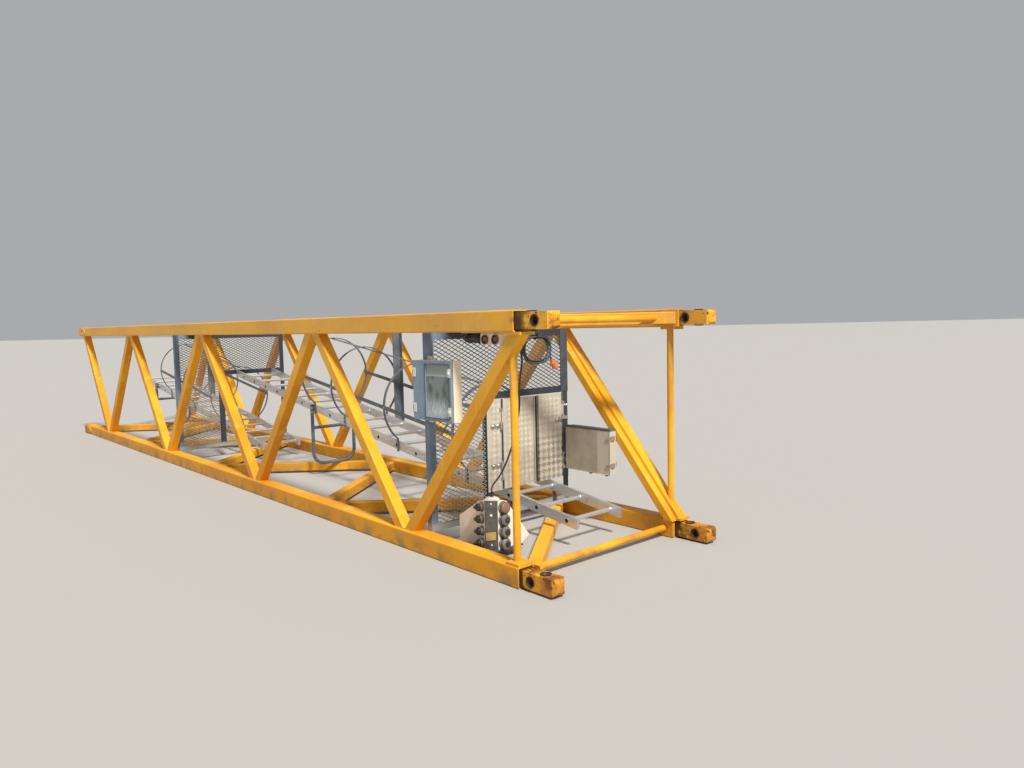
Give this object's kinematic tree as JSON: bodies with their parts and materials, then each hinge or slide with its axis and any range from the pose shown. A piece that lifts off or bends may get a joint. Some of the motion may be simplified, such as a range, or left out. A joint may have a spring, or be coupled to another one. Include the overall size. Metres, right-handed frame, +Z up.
{
  "type": "tower crane mast section",
  "caption": "Square lattice mast section of a tower crane, lying on its side, with pinned ends, rest platforms, ladders, hatch leaves and electrical boxes.",
  "frame": {"origin": "middle of the underside of the lying section, on the ground", "axes": "+X along the section towards the pin blocks, +Y towards the right side as seen from the ladder foot, +Z up from the ground as the section lies"},
  "size_m": [10.19, 1.616, 1.6],
  "materials": {
    "aluminium": "dull",
    "black_plastic": "matt",
    "black_rubber": "matt",
    "box_grey": "satin",
    "cream_paint": "satin",
    "door_paint": "satin",
    "galvanised": "dull",
    "grey_steel": "worn",
    "orange_plastic": "matt",
    "white_plastic": "matt",
    "window_glass": "clear",
    "yellow_paint": "worn"
  },
  "bodies": {
    "section": {"chord_left_low": "yellow_paint", "chord_left_top": "yellow_paint", "chord_right_low": "yellow_paint", "chord_right_top": "yellow_paint", "sleeve_left_low": "yellow_paint", "sleeve_left_top": "yellow_paint", "sleeve_right_low": "yellow_paint", "sleeve_right_top": "yellow_paint", "pin_block_left_low": "yellow_paint", "pin_block_left_top": "yellow_paint", "pin_block_right_low": "yellow_paint", "pin_block_right_top": "yellow_paint", "lacing_left": "yellow_paint", "lacing_right": "yellow_paint", "lacing_top": "yellow_paint", "lacing_bottom": "yellow_paint", "end_brace": "yellow_paint", "end_plates": "yellow_paint", "end_ties": "yellow_paint", "far_platform_frame": "grey_steel", "far_platform_mesh": "galvanised", "near_platform_frame": "grey_steel", "near_platform_mesh": "galvanised", "hatch_strips": "galvanised", "hatch_hinges": "grey_steel", "ladder_long": "aluminium", "ladder_short": "aluminium", "ladder_stands": "grey_steel", "ladder_hooks": "grey_steel", "ladder_cages": "grey_steel", "cabinet_body": "cream_paint", "cabinet_hinges": "white_plastic", "junction_rails": "grey_steel", "junction_box": "box_grey", "junction_cover": "box_grey", "socket_shelf": "grey_steel", "socket_box": "cream_paint", "socket_front": "black_plastic", "sockets": "black_plastic", "lead_gland": "black_rubber", "lead_cord": "black_rubber", "lead_coil": "black_rubber", "lead_strap": "black_rubber", "lead_plug": "orange_plastic"},
    "left_leaf": {"hatch_leaf_left": "galvanised"},
    "right_leaf": {"hatch_leaf_right": "galvanised"},
    "door": {"cabinet_door": "door_paint", "cabinet_pane": "window_glass"}
  },
  "joints": [
    {"name": "left_leaf_hinge", "type": "hinge", "parent": "section", "child": "left_leaf", "pos_m": [3.841, -0.049, 0.32], "axis": [0, 0, -1], "range_deg": [0, 100]},
    {"name": "right_leaf_hinge", "type": "hinge", "parent": "section", "child": "right_leaf", "pos_m": [3.841, 0.5727, 0.32], "axis": [0, 0, 1], "range_deg": [0, 60]},
    {"name": "cabinet_door_hinge", "type": "hinge", "parent": "section", "child": "door", "pos_m": [3.771, -0.7663, 0.905], "axis": [0, 0, -1], "range_deg": [0, 110]}
  ]
}
